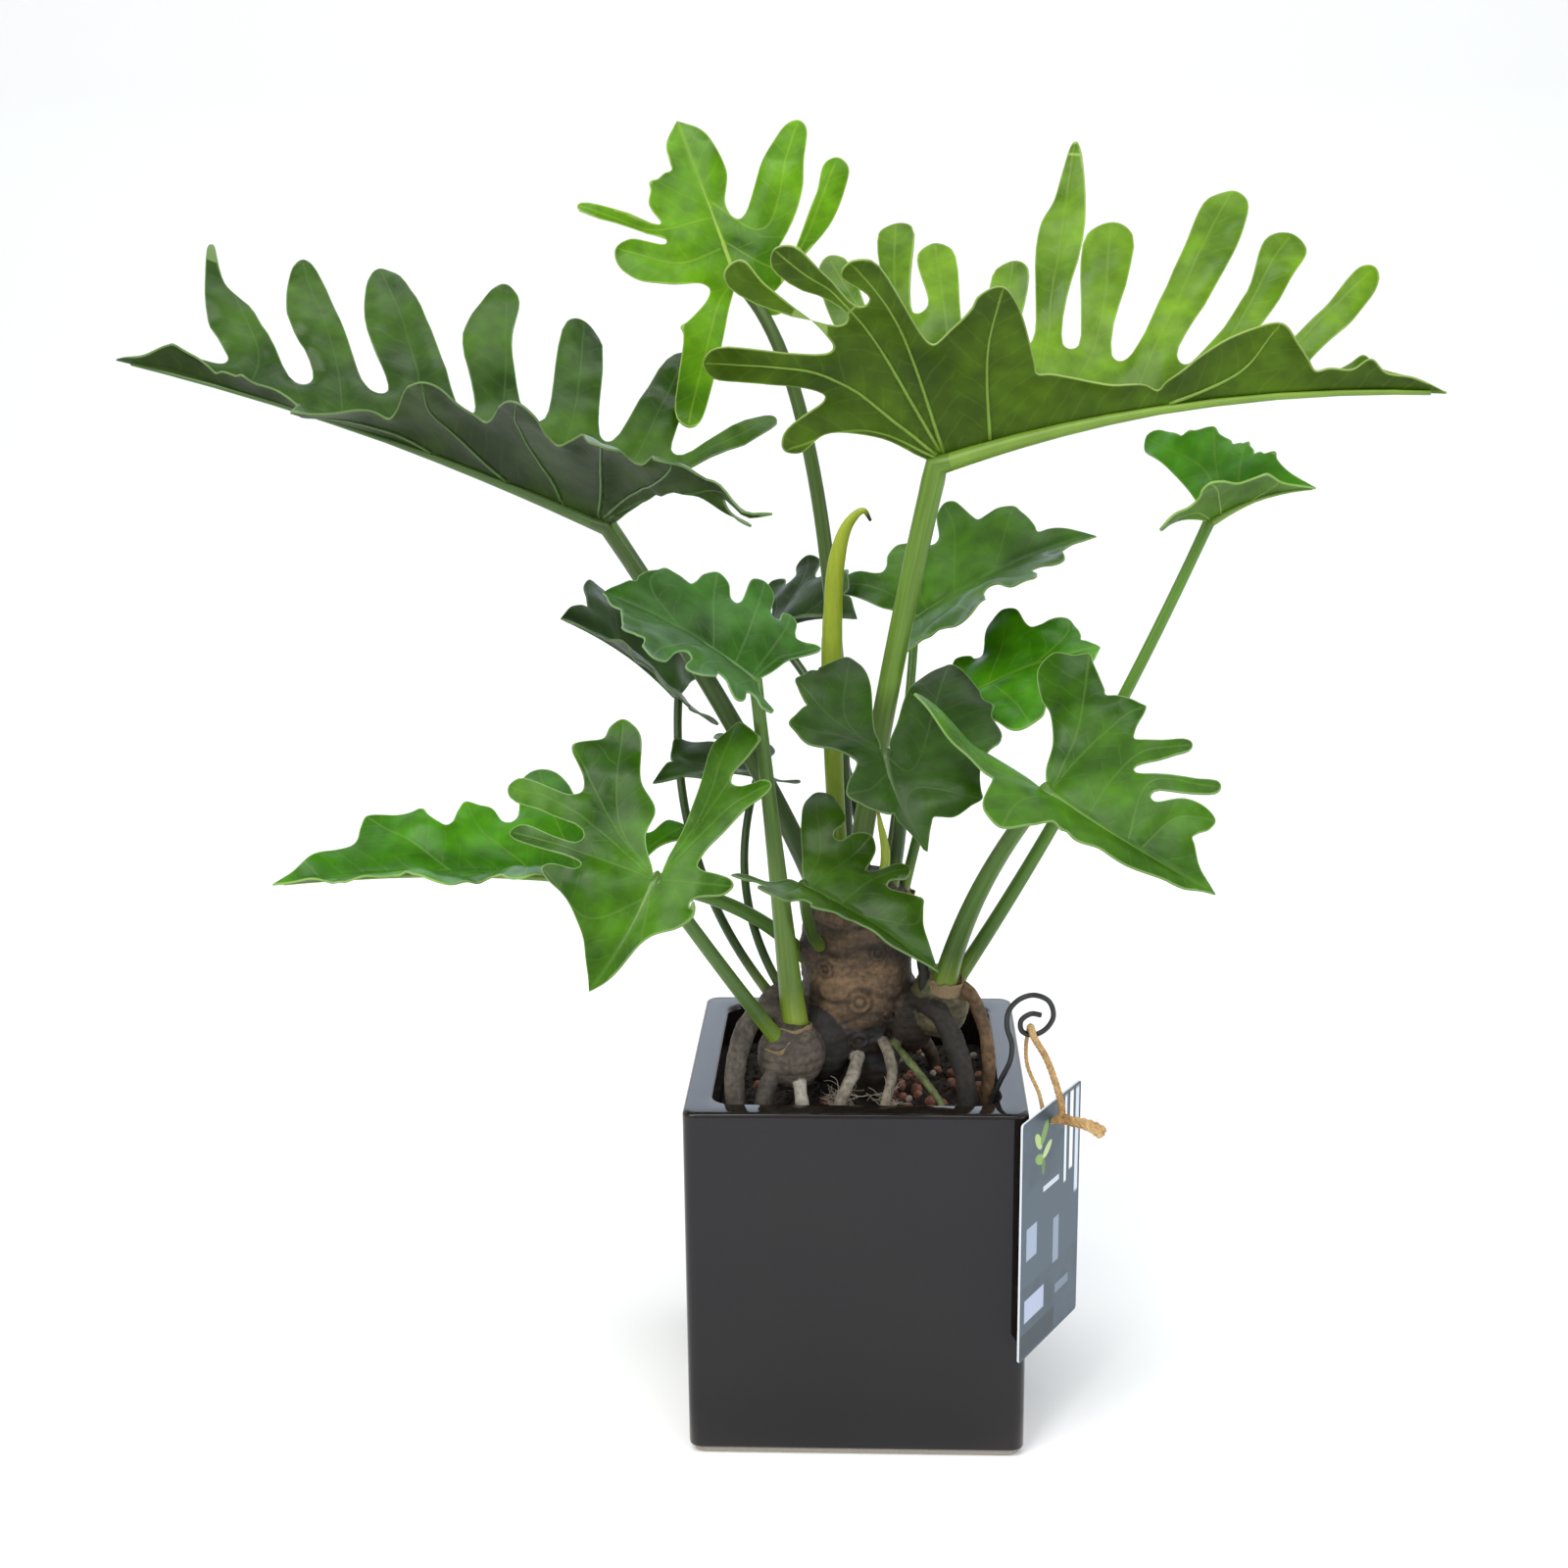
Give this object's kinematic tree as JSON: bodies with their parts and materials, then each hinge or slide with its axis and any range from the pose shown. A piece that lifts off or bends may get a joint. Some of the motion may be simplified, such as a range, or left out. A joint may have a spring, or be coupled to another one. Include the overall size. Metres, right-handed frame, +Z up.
{
  "type": "potted foliage plant",
  "caption": "Young tree philodendron with deeply lobed leaves on long stalks, growing from a woody trunk in a square glazed pot, with a plain tag on twine and a wire hook.",
  "frame": {"origin": "middle of the pot's underside", "axes": "+Z up, -Y to the front of the plant, +X to its right seen from the front, where the tag hangs"},
  "size_m": [0.5271, 0.2179, 0.5425],
  "materials": {
    "glaze": "gloss",
    "soil": "rough, crumbly",
    "bark": "rough, ringed with scars",
    "leaf": "waxy satin",
    "young_leaf": "waxy satin",
    "wire": "satin black",
    "twine": "twisted natural fibre",
    "card": "printed card"
  },
  "bodies": {
    "root": {"pot": "glaze", "soil": "soil", "trunk": "bark", "leaf_a": "leaf", "leaf_b": "leaf", "leaf_c": "leaf", "leaf_d": "leaf", "leaf_e": "leaf", "leaf_f": "leaf", "leaf_g": "leaf", "leaf_h": "leaf", "leaf_i": "leaf", "leaf_j": "leaf", "leaf_k": "leaf", "leaf_l": "leaf", "leaf_m": "leaf", "leaf_n": "leaf", "leaf_o": "leaf", "spear_1": "young_leaf", "spear_2": "young_leaf", "wire_hook": "wire", "twine": "twine", "tag": "card"}
  },
  "joints": []
}
